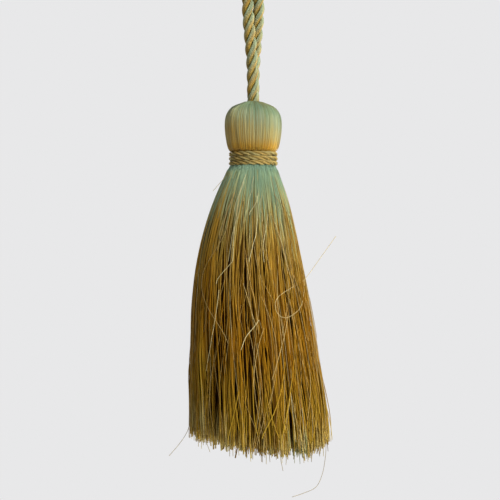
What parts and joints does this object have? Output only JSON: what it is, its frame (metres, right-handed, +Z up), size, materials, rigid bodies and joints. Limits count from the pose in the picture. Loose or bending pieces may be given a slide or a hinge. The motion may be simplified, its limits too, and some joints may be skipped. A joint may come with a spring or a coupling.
{
  "type": "tassel",
  "caption": "Hanging tassel of silky yarn: a domed head bound at the neck with fine cord, a long flared skirt of loose threads, and a twisted cord loop to hang it by.",
  "frame": {"origin": "the underside of the loop's top, where a hook, peg or ring carries the tassel", "axes": "+Z up along the tassel's own axis, with everything hanging below the origin; -Y is the front; +X is to the right seen from the front"},
  "size_m": [0.0344, 0.0348, 0.1537],
  "materials": {
    "yarn": "silky rayon thread with a soft lengthwise sheen, sage green round the head fading to golden olive at the hem",
    "binding_cord": "fine three-ply silky cord, khaki gold",
    "loop_cord": "three-ply silky cord, its plies shaded from pale green to old gold"
  },
  "bodies": {
    "root": {"yarn_bundle": "yarn", "neck_binding": "binding_cord", "hanging_loop": "loop_cord"}
  },
  "joints": []
}
